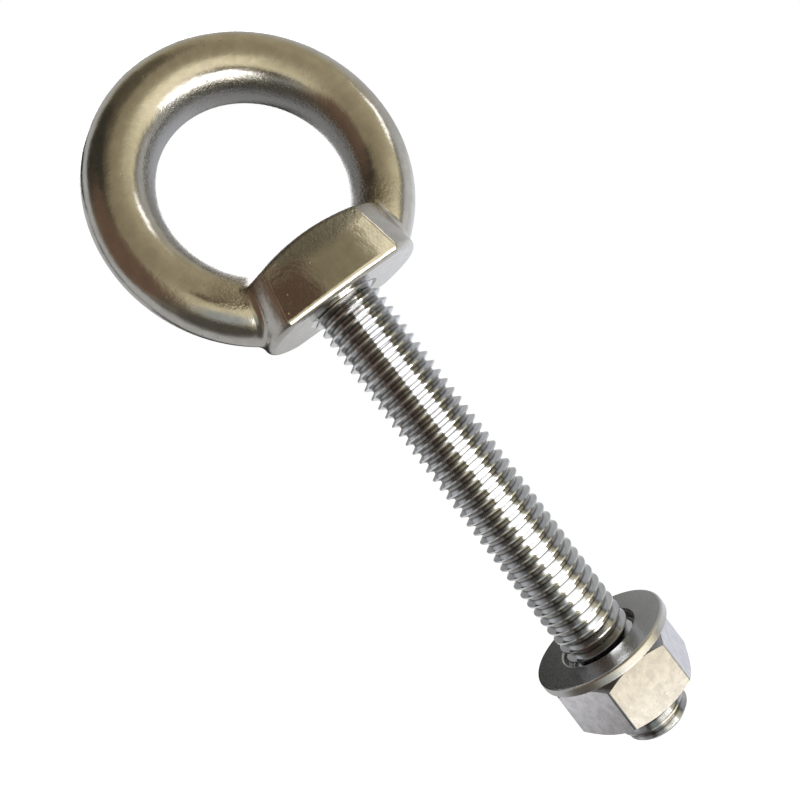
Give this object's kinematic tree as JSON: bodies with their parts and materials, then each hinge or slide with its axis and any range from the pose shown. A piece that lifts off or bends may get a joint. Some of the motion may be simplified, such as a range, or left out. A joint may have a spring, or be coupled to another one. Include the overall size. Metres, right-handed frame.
{
  "type": "eye bolt",
  "caption": "Lifting eye bolt: closed round eye on a flat-sided collar, long fully threaded stud, plain washer and hex nut.",
  "frame": {"origin": "middle of the flat seat under the collar, on the stud's axis", "axes": "+Z along the stud's axis towards the eye; the eye lies in the XZ plane and its opening faces Y; the stud points to -Z"},
  "size_m": [0.0434, 0.02, 0.1104],
  "materials": {
    "polished_stainless": "cast and polished",
    "threaded_stainless": "rolled thread, bright",
    "washer_stainless": "satin, as punched from sheet",
    "nut_stainless": "satin, as drawn"
  },
  "bodies": {
    "head_and_stud": {"eye_head": "polished_stainless", "threaded_stud": "threaded_stainless"},
    "washer": {"plain_washer": "washer_stainless"},
    "nut": {"hex_nut": "nut_stainless"}
  },
  "joints": [
    {"name": "washer_slide", "type": "slide", "parent": "head_and_stud", "child": "washer", "axis": [0, 0, 1], "range_m": [-0.012, 0.0559]},
    {"name": "nut_spin", "type": "hinge", "parent": "washer", "child": "nut", "pos_m": [0, 0, -0.0572], "axis": [0, 0, 1], "range_deg": [-2881, 13417]}
  ],
  "couplings": [
    {"joint": "nut_spin", "follows": "washer_slide", "rad_per_m": 4188.8}
  ]
}
